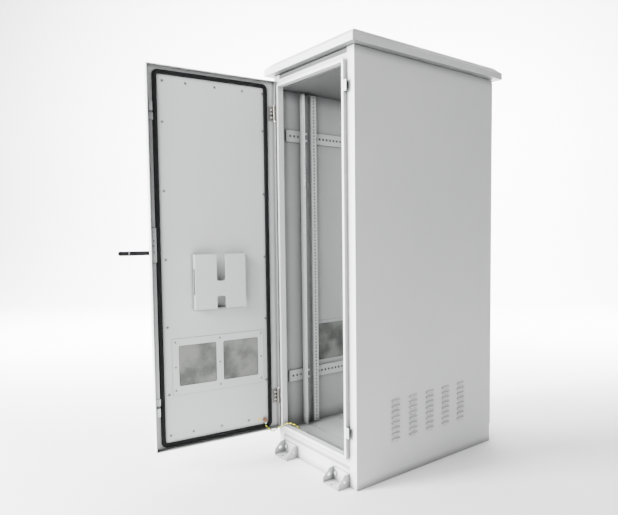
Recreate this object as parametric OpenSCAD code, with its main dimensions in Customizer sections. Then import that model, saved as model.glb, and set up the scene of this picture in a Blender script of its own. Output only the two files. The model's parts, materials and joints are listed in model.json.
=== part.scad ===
/* [Body] */
// Outer width of the cabinet body
body_w = 580; // [520:1:760]
// Outer depth of the cabinet body
body_d = 825; // [700:1:1000]
// Height of the body from the ground to its top flange
body_h = 1720; // [1480:1:2100]
// Thickness of the outer skin and of the folded frame
skin_t = 1.5; // [1:0.1:2.5]
// Width of the front post face folded from each side panel
post_w = 43; // [38:1:60]
// Width of the rear flange folded from each side panel
rear_flange_w = 30; // [20:1:45]
// Width of the top flange folded from each side panel
top_flange_w = 45; // [38:1:60]
// Distance from the outer skin to the face of the inner liner
cavity_d = 19.2; // [14:0.1:30]
// Thickness of the inner liner
liner_t = 1.2; // [0.8:0.1:2]
// Height of the floor above the ground
floor_z = 99; // [90:1:130]
// Height of the underside of the ceiling above the ground, below the top of the body
ceiling_drop = 60; // [50:1:90]

/* [Plinth and feet] */
// Height of the plinth frame
plinth_h = 70; // [60:1:85]
// Wall thickness of the plinth frame
plinth_t = 3; // [2:0.5:5]
// Flange width of the plinth frame
plinth_flange_w = 40; // [30:1:60]
// Overall width of a foot bracket
foot_w = 105; // [95:1:130]
// Distance that a foot bracket stands out of the plinth
foot_out = 58; // [48:1:80]
// Height of a foot bracket
foot_h = 54; // [45:1:65]
// Sheet thickness of a foot bracket
foot_t = 3; // [2:0.5:5]
// Distance between the centres of the two foot brackets on one face
foot_spacing = 380; // [300:1:384]
// Width of the anchor slot in a foot bracket
anchor_slot_w = 13; // [9:1:18]
// End-to-end length of the anchor slot
anchor_slot_l = 26; // [22:1:34]
// Distance from the plinth face to the middle of the anchor slot
anchor_out = 44; // [30:1:46]

/* [Roof] */
// Overhang of the roof past the body on all four sides
roof_over = 33; // [20:1:60]
// Height of the upright skirt of the roof
roof_skirt_h = 28; // [20:1:40]
// Height of the bevel above the skirt
roof_bevel_h = 25; // [15:1:40]
// Run of the bevel
roof_bevel_run = 28; // [15:1:45]
// Gap between the top of the body and the bottom of the skirt
roof_gap = 2; // [1:1:10]

/* [Front frame] */
// Height of the bottom of the sill face
sill_z = 86; // [85:1:89]
// Height of the bottom of the door opening
opening_z = 130; // [124:1:150]
// Distance from the top of the body down to the top of the door opening
opening_drop = 56; // [50:1:80]
// Width of the raised lip around the opening
lip_w = 12; // [10:0.5:16]
// Height of the raised lip in front of the posts
lip_out = 17.5; // [15:0.5:22]

// Height of the set-back strip between the header and the roof
neck_h = 20; // [10:1:26]
// Distance that the strip is set back from the header's face
neck_in = 8; // [4:0.5:8]

/* [Rack rails] */
// Distance between the hole columns of a pair of rails
rack_hole_span = 465.1; // [465.1:0.1:466]
// Clear opening between a pair of rails
rack_opening = 450; // [450:0.5:452]
// Distance from the front of the body to the face of the front rails
rail_front_y = 117; // [90:1:160]
// Sheet thickness of a rail
rail_t = 2; // [1.5:0.1:2.5]
// Depth of the rail's web
rail_web_d = 51; // [45:1:60]
// Depth of the rail's perforated side flange
rail_side_d = 26; // [20:1:36]
// Hole diameter in the front flange of a rail
rail_hole_d = 8; // [6:0.1:8.5]
// Hole diameter in the side flange of a rail
rail_side_hole_d = 9; // [6:0.1:9.5]
// Number of holes up a rail
rail_hole_n = 104; // [80:1:125]

/* [Side straps] */
// Height of a perforated side strap
strap_h = 52; // [46:1:70]
// Depth of a side strap from the liner to its face
strap_d = 6.8; // [6:0.1:9]
// Height of the middle of the lower straps
strap_low_z = 340; // [300:1:345]
// Distance from the top of the body down to the middle of the upper straps
strap_drop = 262; // [200:1:300]
// Hole pitch along a strap
strap_pitch = 20.5; // [20:0.5:30]
// Hole diameter in a strap
strap_hole_d = 12; // [8:0.5:13]

/* [Vents] */
// Height of the lowest louvre in the side panels
louvre_z = 157; // [150:1:170]
// Vertical pitch of the louvres
louvre_pitch = 23; // [19:1:28]
// Width of one louvre
louvre_w = 41; // [30:1:60]
// Distance between louvre columns
louvre_step = 101; // [80:1:110]
// Width of the window in the side liner
vent_w = 400; // [330:1:480]
// Height of the window in the side liner
vent_h = 179; // [149:1:215]
// Height of the bottom edge of the window in the side liner
vent_z = 391; // [390:1:460]
// Thickness of a filter mat
mat_t = 6.5; // [4:0.5:7]

/* [Door] */
// Angle that the door stands open
door_open = 97; // [0:1:109]
// Gap between the door's hinge edge and the side of the body
door_hinge_margin = 9; // [8:0.5:11]
// Gap between the door's lock edge and the side of the body
door_lock_margin = 18; // [14:0.5:24]
// Depth of the door from its rim to its outer face
door_depth = 33.5; // [32:0.5:38]
// Gap between the door's rim and the post face
door_gap = 2.5; // [2.3:0.1:3]
// Height of the door's bottom edge
door_z = 107; // [104:1:112]
// Distance from the top of the body down to the door's top edge
door_drop = 26; // [20:1:34]
// Distance from the door's rim in to the face of its inner panel
door_recess = 24.5; // [24:0.5:28]
// Width of the gasket
gasket_w = 17; // [14:0.5:18]
// Gap left between the gasket and the lip when the door is shut
gasket_gap = 0.3; // [0.3:0.1:0.6]
// Width of the document holder
holder_w = 220; // [185:1:264]
// Height of the document holder
holder_h = 235; // [195:1:280]
// Depth of the document holder
holder_d = 36; // [25:1:44]
// Width of one window in the door's filter frame
door_vent_w = 161; // [134:1:175]
// Height of the windows in the door's filter frame
door_vent_h = 173; // [144:1:207]

/* [Lock and handle] */
// Height of the handle's turning axis above the ground
handle_z = 934; // [880:1:1000]
// Length of the lever from its turning axis to its tip
lever_len = 130; // [105:1:150]
// Width of the lever
lever_w = 18; // [16:1:20]
// Stroke of the lock rods
rod_stroke = 18; // [15:1:20]
// Width of a lock rod
rod_w = 14; // [12:0.5:15]
// Thickness of a lock rod
rod_t = 4; // [3:0.5:4]
// Radial running clearance of pins and shafts
run_clear = 0.05; // [0.02:0.01:0.08]

/* [Hidden] */
$fn = 32;

PAINT = [0.83, 0.84, 0.83];
PAINT_IN = [0.74, 0.75, 0.75];
ZINC = [0.70, 0.71, 0.72];
RUBBER = [0.06, 0.06, 0.065];
BLACK = [0.05, 0.05, 0.055];
MAT_GREEN = [0.45, 0.48, 0.44];
LEAD_GREEN = [0.35, 0.55, 0.12];
COPPER = [0.62, 0.38, 0.22];

xo = body_w / 2;
yo = body_d / 2;
xi = xo - skin_t;
yi = yo - skin_t;
xl = xo - cavity_d;
ceiling_z = body_h - ceiling_drop;
eps = 0.01;

// Front frame
frame_x = xo - post_w;
neck_z = body_h - neck_h;
lip_xo = frame_x - 2.5;
lip_xi = lip_xo - lip_w;
lip_zt = body_h - opening_drop;
lip_y = -yo - lip_out;

// Door, drawn shut
door_x0 = -xo + door_hinge_margin;
door_x1 = xo - door_lock_margin;
door_zt = body_h - door_drop;
rim_y = -yo - door_gap;
face_y = rim_y - door_depth;
panel_y = rim_y - door_recess;
rim_w = 3;
pin_x = door_x0 + 4.5;
pin_y = -yo - 12;
pin_r = 2.5;
knuckle_r = 4.5;
hinge_h = 66;
hinge_zs = [door_z + 149, door_zt - 142];

// Lock line between the gasket and the lock edge
lock_x = door_x1 - 14.5;
rod_y = rim_y - 20;
rod_tip_y = rim_y - 9;
strike_h = 43;
strike_zs = [door_z + 119.5, door_zt - 120.5];
rod_free = 7.5;

module box(a, b) translate(a) cube(b - a);

// Rectangle with round corners, centred
module round_rect(w, h, r) {
    square([w - 2 * r, h], center = true);
    square([w, h - 2 * r], center = true);
    for (sx = [-1, 1]) for (sy = [-1, 1])
        translate([sx * (w / 2 - r), sy * (h / 2 - r)]) circle(r = r, $fn = 48);
}

// Stand a drawing made in the XZ plane up, thick t along +Y from y
module upright(y, t) translate([0, y + t, 0]) rotate([90, 0, 0]) linear_extrude(t) children();

// Stand a drawing whose X is the depth and whose Y is the height up, thick t along +X from x
module sideways(x, t) translate([x, 0, 0]) rotate([90, 0, 90]) linear_extrude(t) children();

// Swing what is drawn shut to where the door stands
module on_door() translate([pin_x, pin_y, 0]) rotate([0, 0, -door_open]) translate([-pin_x, -pin_y, 0]) children();

module both_sides(side) mirror([side < 0 ? 1 : 0, 0, 0]) children();

module hex_head(d, h) cylinder(d = d, h = h, $fn = 6);

// ---------------------------------------------------------------- plinth, floor and feet
module plinth_frame() color(PAINT) difference() {
    box([-xi, -yi, 0], [xi, yi, plinth_h]);
    box([-xi + plinth_t, -yi + plinth_t, plinth_t], [xi - plinth_t, yi - plinth_t, plinth_h - plinth_t]);
    box([-xi + plinth_flange_w, -yi + plinth_flange_w, -1],
        [xi - plinth_flange_w, yi - plinth_flange_w, plinth_h + 1]);
    for (sx = [-1, 1]) for (sy = [-1, 1]) for (bx = [-1, 1])
        translate([sx * foot_spacing / 2 + bx * foot_bolt_x, sy * yi, foot_bolt_z])
            rotate([90, 0, 0]) cylinder(d = foot_bolt_d + 1, h = 4 * plinth_t, center = true);
}

gland_w = 430;
gland_y0 = -yo + 132;
gland_l = 470;
module base_pan() color(PAINT_IN) difference() {
    box([-xi, -yi, plinth_h], [xi, yi, floor_z]);
    box([-xi + skin_t, -yi + skin_t, plinth_h - 1], [xi - skin_t, yi - skin_t, floor_z - skin_t]);
    box([-gland_w / 2 + 25, gland_y0 + 25, plinth_h], [gland_w / 2 - 25, gland_y0 + gland_l - 25, floor_z + 1]);
}

module gland_plate() color(PAINT_IN) difference() {
    union() {
        box([-gland_w / 2, gland_y0, floor_z], [gland_w / 2, gland_y0 + gland_l, floor_z + skin_t]);
        for (sx = [-1, 1]) for (k = [0 : 3])
            translate([sx * (gland_w / 2 - 12), gland_y0 + 12 + k * (gland_l - 24) / 3, floor_z + skin_t])
                cylinder(d = 10, h = 2.5);
    }
    for (k = [-1, 1]) translate([k * 90, gland_y0 + gland_l - 90, floor_z - 1]) cylinder(d = 63, h = 5);
}

foot_bolt_d = 10;
foot_bolt_x = 34;
foot_bolt_z = 30;
// A foot is drawn for the front right corner, against the plinth at -yi
module foot() color(PAINT) {
    difference() {
        union() {
            box([-foot_w / 2, -yi - foot_t, 0], [foot_w / 2, -yi, foot_h]);
            box([-foot_w / 2, -yi - foot_out, 0], [foot_w / 2, -yi, foot_t]);
            for (sx = [-1, 1]) translate([sx * (foot_w - foot_t) / 2 - foot_t / 2, 0, 0])
                sideways(0, foot_t) difference() {
                    polygon([[-yi, 0], [-yi, foot_h], [-yi - foot_out * 0.45, foot_h],
                        [-yi - foot_out, foot_h * 0.42], [-yi - foot_out, 0]]);
                    translate([-yi - foot_out * 0.5, foot_h * 0.5]) circle(d = 14);
                }
        }
        for (sx = [-1, 1]) translate([sx * foot_bolt_x, -yi, foot_bolt_z])
            rotate([90, 0, 0]) cylinder(d = foot_bolt_d + 1, h = 3 * foot_t, center = true);
        translate([0, -yi - anchor_out, -1]) linear_extrude(foot_t + 2) {
            square([anchor_slot_l - anchor_slot_w, anchor_slot_w], center = true);
            for (sx = [-1, 1]) translate([sx * (anchor_slot_l - anchor_slot_w) / 2, 0]) circle(d = anchor_slot_w);
        }
    }
}
module foot_at(sx, sy) mirror([0, sy > 0 ? 1 : 0, 0]) translate([sx * foot_spacing / 2, 0, 0]) foot();

module foot_bolts() color(ZINC) for (sx = [-1, 1]) for (sy = [-1, 1]) for (bx = [-1, 1])
    mirror([0, sy > 0 ? 1 : 0, 0])
        translate([sx * foot_spacing / 2 + bx * foot_bolt_x, -yi - foot_t, foot_bolt_z]) rotate([90, 0, 0]) {
            hex_head(17, 6.4);
            translate([0, 0, -foot_t - plinth_t - 12]) cylinder(d = foot_bolt_d, h = foot_t + plinth_t + 12);
            translate([0, 0, -foot_t - plinth_t - 8]) hex_head(17, 8);
        }

// ---------------------------------------------------------------- side panels and liners
louvre_rows = 8;
louvre_cols = 5;
louvre_out = 6;
louvre_t = 1.2;
louvre_y0 = -yo + 207;
module louvre_hood(w) translate([0, w / 2, 0]) rotate([90, 0, 0]) difference() {
    linear_extrude(w) polygon([[-0.2, 0], [louvre_out, 0], [louvre_out, 3.5], [0, 10], [-0.2, 10]]);
    translate([0, 0, louvre_t]) linear_extrude(w - 2 * louvre_t)
        polygon([[-1, -1], [louvre_out - louvre_t, -1], [louvre_out - louvre_t, 3], [0, 8.2], [-1, 8.2]]);
}
module side_panel(side) both_sides(side) color(PAINT) {
    difference() {
        union() {
            sideways(xi, skin_t) difference() {
                translate([-yo, 0]) square([body_d, body_h]);
                for (r = [0 : louvre_rows - 1]) for (c = [0 : louvre_cols - 1])
                    translate([louvre_y0 + c * louvre_step - louvre_w / 2 + louvre_t, louvre_z + r * louvre_pitch + 1])
                        square([louvre_w - 2 * louvre_t, 7]);
            }
            box([xo - post_w, -yo, 0], [xo, -yi, body_h]);
            box([xo - post_w, -yo, floor_z], [xo - post_w + skin_t, -yo + 15, ceiling_z]);
            box([xo - rear_flange_w, yi, 0], [xo, yo, body_h]);
            box([xo - top_flange_w, -yi, body_h - skin_t], [xo, yi, body_h]);
        }
        for (sy = [-1, 1]) translate([spacer_x, sy * spacer_y, body_h - 5]) cylinder(d = roof_bolt_d + 1, h = 10);
    }
    for (r = [0 : louvre_rows - 1]) for (c = [0 : louvre_cols - 1])
        translate([xo, louvre_y0 + c * louvre_step, louvre_z + r * louvre_pitch]) louvre_hood(louvre_w);
}

vent_fit = 0.3;
vent_rim = 6;
vent_border = 14;
module side_liner(side) both_sides(side) color(PAINT_IN) difference() {
    box([xl, -yi + 16, floor_z], [xi, yi - 12, ceiling_z]);
    box([xl + liner_t, -yi + 16 + liner_t, floor_z + liner_t], [xi + 1, yi - 12 - liner_t, ceiling_z - liner_t]);
    box([xl - 1, -vent_w / 2 - vent_rim - vent_fit, vent_z - vent_rim - vent_fit],
        [xi, vent_w / 2 + vent_rim + vent_fit, vent_z + vent_h + vent_rim + vent_fit]);
}
module vent_frame(side) both_sides(side) color(PAINT_IN) difference() {
    box([xl - skin_t, -vent_w / 2 - vent_border, vent_z - vent_border],
        [xl, vent_w / 2 + vent_border, vent_z + vent_h + vent_border]);
    translate([0, 0, vent_z + vent_h / 2]) sideways(xl - 5, 8) round_rect(vent_w, vent_h, 8);
}
module vent_mats() color(MAT_GREEN) for (s = [-1, 1]) both_sides(s)
    box([xl, -vent_w / 2 - vent_rim, vent_z - vent_rim],
        [xl + mat_t, vent_w / 2 + vent_rim, vent_z + vent_h + vent_rim]);

// ---------------------------------------------------------------- rear, top and front
rear_tray_d = 12;
rear_margin = 6;
rear_z0 = 80;
rear_z1 = body_h - 10;
module rear_panel() color(PAINT) difference() {
    box([-xo + rear_margin, yo, rear_z0], [xo - rear_margin, yo + rear_tray_d, rear_z1]);
    box([-xo + rear_margin + skin_t, yo + skin_t, rear_z0 + skin_t],
        [xo - rear_margin - skin_t, yo + rear_tray_d - skin_t, rear_z1 - skin_t]);
    box([-xo + rear_margin + 18, yo - 1, rear_z0 + 18], [xo - rear_margin - 18, yo + skin_t + 1, rear_z1 - 18]);
}
module rear_panel_screws() color(ZINC) for (sx = [-1, 1]) for (k = [0 : 5])
    translate([sx * (xo - rear_margin - 9), yo + rear_tray_d, rear_z0 + 60 + k * (body_h - 220) / 5])
        rotate([-90, 0, 0]) hex_head(13, 4);

module front_frame() color(PAINT) {
    lip_zm = (opening_z + lip_zt) / 2;
    lip_zh = lip_zt - opening_z;
    difference() {
        union() {
            box([-frame_x, -yo, sill_z], [frame_x, -yi, neck_z]);
            translate([0, 0, lip_zm]) upright(lip_y, lip_out)
                round_rect(2 * lip_xo, lip_zh + 2 * lip_w, 8);
        }
        translate([0, 0, lip_zm]) upright(lip_y - 1, lip_out + 4) round_rect(2 * lip_xi, lip_zh, 4);
        translate([0, 0, lip_zm]) upright(lip_y + skin_t, lip_out + 4) difference() {
            round_rect(2 * (lip_xo - skin_t), lip_zh + 2 * (lip_w - skin_t), 6.5);
            round_rect(2 * (lip_xi + skin_t), lip_zh + 2 * skin_t, 5);
        }
    }
    translate([0, 0, lip_zm]) upright(lip_y + 1, lip_out + 8) difference() {
        round_rect(2 * (lip_xi + skin_t), lip_zh + 2 * skin_t, 5);
        round_rect(2 * lip_xi, lip_zh, 4);
    }
    for (sx = [-1, 1]) both_sides(sx) box([frame_x - skin_t, -yi - 0.5, floor_z], [frame_x, -yo + 15, ceiling_z]);
    box([-frame_x, -yi - 0.5, neck_z - skin_t], [frame_x, -yo + neck_in + skin_t, neck_z]);
    box([-frame_x, -yo + neck_in, neck_z - 0.5], [frame_x, -yo + neck_in + skin_t, body_h - 2]);
}

module ceiling_panel() color(PAINT_IN) difference() {
    box([-xi, -yo + 10, ceiling_z], [xi, yi, ceiling_z + 30]);
    box([-xi + skin_t, -yo + 10 + skin_t, ceiling_z + skin_t], [xi - skin_t, yi - skin_t, ceiling_z + 31]);
}

roof_z0 = body_h + roof_gap;
roof_z1 = roof_z0 + roof_skirt_h;
roof_z2 = roof_z1 + roof_bevel_h;
roof_lip_w = roof_over + 5;
function roof_section(half, inset, z0) = [
    [-half + inset, z0], [half - inset, z0], [half - inset, roof_z1 - inset * 0.4],
    [half - roof_bevel_run - inset * 0.4, roof_z2 - inset], [-half + roof_bevel_run + inset * 0.4, roof_z2 - inset],
    [-half + inset, roof_z1 - inset * 0.4]
];
module roof_block(inset, z0) intersection() {
    upright(-yo - roof_over - 1 + inset, body_d + 2 * roof_over + 2 - 2 * inset)
        polygon(roof_section(xo + roof_over, inset, z0));
    sideways(-xo - roof_over - 1 + inset, body_w + 2 * roof_over + 2 - 2 * inset)
        polygon(roof_section(yo + roof_over, inset, z0));
}
module roof_cover() color(PAINT) difference() {
    roof_block(0, roof_z0);
    roof_block(skin_t, roof_z0 + skin_t);
    box([-xo - roof_over + roof_lip_w, -yo - roof_over + roof_lip_w, roof_z0 - 1],
        [xo + roof_over - roof_lip_w, yo + roof_over - roof_lip_w, roof_z0 + skin_t + 1]);
}
spacer_d = 28;
spacer_x = xo - 22;
spacer_y = yo - 52;
roof_bolt_d = 10;
module roof_spacers() color(ZINC) for (sx = [-1, 1]) for (sy = [-1, 1])
    translate([sx * spacer_x, sy * spacer_y, 0]) difference() {
        translate([0, 0, body_h]) cylinder(d = spacer_d, h = roof_z2 - skin_t - body_h);
        translate([0, 0, body_h - 1]) cylinder(d = roof_bolt_d + 0.4, h = 34);
    }
module roof_bolts() color(ZINC) for (sx = [-1, 1]) for (sy = [-1, 1])
    translate([sx * spacer_x, sy * spacer_y, body_h - skin_t]) {
        translate([0, 0, -6.4]) hex_head(17, 6.4);
        cylinder(d = roof_bolt_d, h = 30);
    }

// ---------------------------------------------------------------- rack rails and straps
rail_z0 = floor_z + 7;
rail_z1 = ceiling_z - 8;
rail_x0 = xl - strap_d;
rail_edge_x = rack_opening / 2;
rail_hole_x = rack_hole_span / 2;
rail_side_x = rail_x0 - 21.4;
rail_y0 = -yo + rail_front_y;
rail_first_z = rail_z0 + 9.9;
UNIT = 44.45;
function unit_hole(k) = rail_first_z + floor(k / 3) * UNIT + (k % 3) * 15.875;

// A rail is drawn for the front right corner
module rail() color(PAINT) {
    upright(rail_y0, rail_t) difference() {
        translate([rail_edge_x, rail_z0]) square([rail_x0 - rail_edge_x, rail_z1 - rail_z0]);
        for (k = [0 : rail_hole_n - 1]) translate([rail_hole_x, unit_hole(k)]) circle(d = rail_hole_d);
    }
    difference() {
        box([rail_x0 - rail_t, rail_y0, rail_z0], [rail_x0, rail_y0 + rail_web_d, rail_z1]);
        for (z = strap_zs) for (s = [-1, 1]) translate([rail_x0, rail_bolt_y, z + s * rail_bolt_z])
            rotate([0, 90, 0]) cylinder(d = rail_bolt_d + 0.6, h = 10, center = true);
    }
    box([rail_side_x, rail_y0 + rail_web_d - rail_t, rail_z0], [rail_x0, rail_y0 + rail_web_d, rail_z1]);
    sideways(rail_side_x, rail_t) difference() {
        translate([rail_y0 + rail_web_d - rail_t, rail_z0]) square([rail_side_d + rail_t, rail_z1 - rail_z0]);
        for (k = [0 : rail_hole_n - 1])
            translate([rail_y0 + rail_web_d + rail_side_d - 14, unit_hole(k)]) circle(d = rail_side_hole_d);
    }
}
module rail_at(sx, sy) mirror([0, sy > 0 ? 1 : 0, 0]) both_sides(sx) rail();

strap_zs = [strap_low_z, body_h - strap_drop];
strap_y0 = -yo + 42;
strap_n = floor((-2 * strap_y0 - 36) / strap_pitch) + 1;
strap_first_y = -(strap_n - 1) * strap_pitch / 2;
rail_bolt_d = 8;
rail_bolt_z = strap_h / 2 - 10;
rail_bolt_y = strap_first_y + strap_pitch * round((rail_y0 + 27 - strap_first_y) / strap_pitch);
module strap(side, z) both_sides(side) color(PAINT) {
    sideways(rail_x0, skin_t) difference() {
        translate([strap_y0, z - strap_h / 2]) square([-2 * strap_y0, strap_h]);
        for (k = [0 : strap_n - 1]) translate([strap_first_y + k * strap_pitch, z]) circle(d = strap_hole_d);
        for (sy = [-1, 1]) for (s = [-1, 1]) translate([sy * rail_bolt_y, z + s * rail_bolt_z])
            circle(d = rail_bolt_d + 0.6);
    }
    for (s = [0, 1]) translate([0, 0, z - strap_h / 2 + s * (strap_h - skin_t)])
        box([rail_x0, strap_y0, 0], [xl, -strap_y0, skin_t]);
}
module rail_bolts() color(ZINC) for (sx = [-1, 1]) both_sides(sx) for (sy = [-1, 1]) for (z = strap_zs)
    for (s = [-1, 1]) translate([rail_x0 - rail_t, sy * rail_bolt_y, z + s * rail_bolt_z]) rotate([0, 90, 0]) {
        translate([0, 0, -5]) hex_head(13, 5);
        cylinder(d = rail_bolt_d, h = rail_t + skin_t + 4.5);
        translate([0, 0, rail_t + skin_t]) hex_head(13, 4.5);
    }

// ---------------------------------------------------------------- hinges and strikes
third = hinge_h / 3;
module hinge_frame_leaf(z) color(ZINC) translate([0, 0, z - hinge_h / 2]) difference() {
    union() {
        box([pin_x + 3, -yo - 2, 0], [lip_edge_left - 0.5, -yo, hinge_h]);
        for (k = [0, 2]) translate([0, 0, k * third]) {
            translate([pin_x, pin_y, 0]) cylinder(r = knuckle_r, h = third);
            box([pin_x + 1, pin_y, 0], [pin_x + knuckle_r, -yo - 1, third]);
        }
    }
    translate([pin_x, pin_y, -1]) cylinder(r = pin_r, h = hinge_h + 2);
}
lip_edge_left = -lip_xo;
module hinge_pins() color(ZINC) for (z = hinge_zs) translate([pin_x, pin_y, z - hinge_h / 2]) {
    cylinder(r = pin_r, h = hinge_h);
    translate([0, 0, hinge_h]) cylinder(r = pin_r + 1.5, h = 2);
}
leaf_t = 2;
leaf_gap = 0.3;
module hinge_door_leaf(z) on_door() color(ZINC) translate([0, 0, z - hinge_h / 2]) difference() {
    union() {
        box([pin_x - 1, panel_y, 1], [pin_x + 20, panel_y + leaf_t, hinge_h - 1]);
        translate([0, 0, third + leaf_gap]) {
            translate([pin_x, pin_y, 0]) cylinder(r = knuckle_r, h = third - 2 * leaf_gap);
            box([pin_x - 1, panel_y, 0], [pin_x + 1.5, pin_y - pin_r, third - 2 * leaf_gap]);
        }
    }
    translate([pin_x, pin_y, -1]) cylinder(r = pin_r + run_clear, h = hinge_h + 2);
}
module hinge_nuts() on_door() color(ZINC) for (z = hinge_zs) for (k = [-1 : 1])
    translate([pin_x + 9.5, panel_y + leaf_t, z + k * 17]) rotate([-90, 0, 0]) {
        hex_head(10, 5);
        cylinder(d = 6, h = 8);
    }

strike_t = 2.5;
strike_out = 17;
module lock_strikes() color(ZINC) for (z = strike_zs) translate([0, 0, z - strike_h / 2]) {
    box([lip_xo, lip_y, 0], [lip_xo + strike_t, -yo - 1, strike_h]);
    box([lip_xo, lip_y, 0], [lip_xo + strike_out, lip_y + strike_t, strike_h]);
}

// ---------------------------------------------------------------- door
door_mid = (door_x0 + door_x1) / 2;
door_vent_y0 = 0;
door_vent_z = 367;
door_vent_xs = [door_x0 + 176, door_x0 + 367.5];
door_louvre_rows = 6;
module hinge_windows() for (z = hinge_zs) translate([0, 0, z - hinge_h / 2 - 2])
    box([door_x0 - 1, panel_y + 1, 0], [door_x0 + rim_w + 1, rim_y + 1, hinge_h + 6]);
module door_shell() on_door() color(PAINT) {
    difference() {
        box([door_x0, face_y, door_z], [door_x1, rim_y, door_zt]);
        box([door_x0 + skin_t, face_y + skin_t, door_z + skin_t], [door_x1 - skin_t, rim_y - skin_t, door_zt - skin_t]);
        box([door_x0 + rim_w, rim_y - skin_t - 1, door_z + rim_w], [door_x1 - rim_w, rim_y + 1, door_zt - rim_w]);
        hinge_windows();
        for (x = door_vent_xs) for (r = [0 : door_louvre_rows - 1])
            box([x - door_vent_w / 2 + 12, face_y - 1, door_vent_z + 16 + r * 25],
                [x + door_vent_w / 2 - 12, face_y + skin_t + 0.5, door_vent_z + 23 + r * 25]);
        translate([lock_x, face_y, handle_z]) rotate([90, 0, 0]) cylinder(r = spindle_r + 1, h = 10, center = true);
    }
    for (x = door_vent_xs) for (r = [0 : door_louvre_rows - 1])
        translate([x, face_y, door_vent_z + 15 + r * 25]) rotate([0, 0, -90])
            louvre_hood(door_vent_w - 24 + 2 * louvre_t);
}

mat_rim = 2;
module door_liner() on_door() color(PAINT_IN) difference() {
    box([door_x0 + skin_t, face_y + skin_t, door_z + skin_t], [door_x1 - skin_t, panel_y, door_zt - skin_t]);
    box([door_x0 + 2 * skin_t, face_y + skin_t - 1, door_z + 2 * skin_t],
        [door_x1 - 2 * skin_t, panel_y - skin_t, door_zt - 2 * skin_t]);
    for (x = door_vent_xs)
        box([x - door_vent_w / 2 - mat_rim - vent_fit, face_y, door_vent_z - mat_rim - vent_fit],
            [x + door_vent_w / 2 + mat_rim + vent_fit, panel_y + 1, door_vent_z + door_vent_h + mat_rim + vent_fit]);
    translate([lock_x, panel_y, handle_z]) rotate([90, 0, 0]) cylinder(r = spindle_r + 1, h = 10, center = true);
}

gasket_t = lip_y - gasket_gap - panel_y;
module door_gasket() on_door() color(RUBBER) {
    lip_zm = (opening_z + lip_zt) / 2;
    lip_zh = lip_zt - opening_z + lip_w;
    translate([0, 0, lip_zm]) upright(panel_y, gasket_t) difference() {
        round_rect(2 * lip_xi + lip_w + gasket_w, lip_zh + gasket_w, 22);
        round_rect(2 * lip_xi + lip_w - gasket_w, lip_zh - gasket_w, 8);
    }
}

screw_cols = [door_x0 + 57, door_x0 + 491];
screw_rows = [337, 622, 905, 1188, 1470];
module pan_screw(x, z, y, d, h) translate([x, y, z]) rotate([-90, 0, 0]) cylinder(d = d, h = h);
module door_liner_screws() on_door() color(ZINC) {
    for (x = screw_cols) for (z = screw_rows) pan_screw(x, z, panel_y, 9, 2.5);
    for (x = [door_x0 + 56, door_x0 + 149, door_x0 + 272, door_x0 + 395, door_x0 + 488])
        pan_screw(x, door_zt - 58, panel_y, 9, 2.5);
    for (x = [door_x0 + 145, door_x0 + 270, door_x0 + 394, door_x0 + 489])
        pan_screw(x, door_z + 55, panel_y, 9, 2.5);
}

holder_t = 1.2;
holder_x0 = door_x0 + 161;
holder_z0 = 690;
holder_slot_w = 37;
module document_holder() on_door() color(PAINT_IN) difference() {
    union() {
        difference() {
            box([holder_x0, panel_y, holder_z0], [holder_x0 + holder_w, panel_y + holder_d, holder_z0 + holder_h]);
            box([holder_x0 + holder_t, panel_y - 1, holder_z0 + holder_t],
                [holder_x0 + holder_w - holder_t, panel_y + holder_d - holder_t, holder_z0 + holder_h + 1]);
        }
        for (s = [0, 1]) translate([holder_x0 + s * (holder_w - 14), 0, 0])
            box([0, panel_y, holder_z0], [14, panel_y + holder_t, holder_z0 + holder_h]);
    }
    translate([holder_x0 + holder_w / 2, 0, 0]) upright(panel_y + holder_d - 5, 10) {
        translate([0, holder_z0 + holder_h]) round_rect(holder_slot_w, holder_h * 0.98, 9);
        translate([0, holder_z0]) round_rect(holder_slot_w, holder_h * 0.46, 9);
    }
    box([holder_x0 + holder_w - 5, panel_y + 10, holder_z0 + 62],
        [holder_x0 + holder_w + 1, panel_y + holder_d - 8, holder_z0 + 174]);
}

filter_border = 27;
filter_x0 = door_vent_xs[0] - door_vent_w / 2 - filter_border;
filter_x1 = door_vent_xs[1] + door_vent_w / 2 + filter_border;
filter_z0 = door_vent_z - 37;
filter_z1 = door_vent_z + door_vent_h + 30;
module door_filter_frame() on_door() color(PAINT_IN) difference() {
    box([filter_x0, panel_y, filter_z0], [filter_x1, panel_y + skin_t, filter_z1]);
    for (x = door_vent_xs) translate([x, 0, door_vent_z + door_vent_h / 2])
        upright(panel_y - 1, 6) round_rect(door_vent_w, door_vent_h, 7);
}
module door_filter_mats() on_door() color(MAT_GREEN) for (x = door_vent_xs)
    box([x - door_vent_w / 2 - mat_rim, panel_y - mat_t, door_vent_z - mat_rim],
        [x + door_vent_w / 2 + mat_rim, panel_y, door_vent_z + door_vent_h + mat_rim]);
module door_filter_screws() on_door() color(ZINC) for (z = [filter_z0 + 20, (filter_z0 + filter_z1) / 2, filter_z1 - 14])
    for (x = [filter_x0 + 13, (filter_x0 + filter_x1) / 2, filter_x1 - 13])
        pan_screw(x, z, panel_y + skin_t, 7, 2);

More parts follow.
